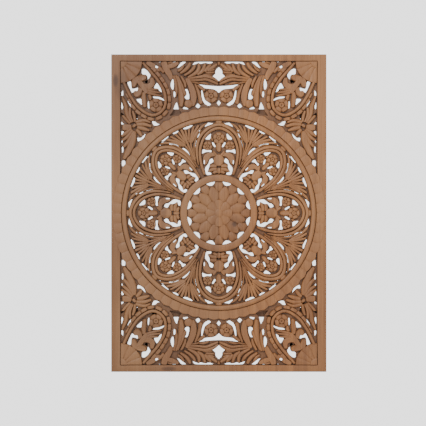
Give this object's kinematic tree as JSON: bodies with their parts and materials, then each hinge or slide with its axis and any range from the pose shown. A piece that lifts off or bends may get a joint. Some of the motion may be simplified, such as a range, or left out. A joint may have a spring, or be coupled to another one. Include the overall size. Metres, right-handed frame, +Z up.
{
  "type": "carved wall panel",
  "caption": "Tall rectangular pierced wooden wall panel carved with a great scalloped ring, rosette, medallions, leaf sprays, teardrops and acanthus corners, on two back battens.",
  "frame": {"origin": "centre of the upper batten's back face, where the panel rests on the wall; the panel's own centre is 283 mm below it", "axes": "+Z up along the panel's height, +X to the right seen from the front, +Y into the wall, so the carved front faces -Y"},
  "size_m": [0.61, 0.0333, 0.9],
  "materials": {
    "carved_wood": "satin",
    "batten_wood": "matte"
  },
  "bodies": {
    "root": {"carved_panel": "carved_wood", "upper_batten": "batten_wood", "lower_batten": "batten_wood"}
  },
  "joints": []
}
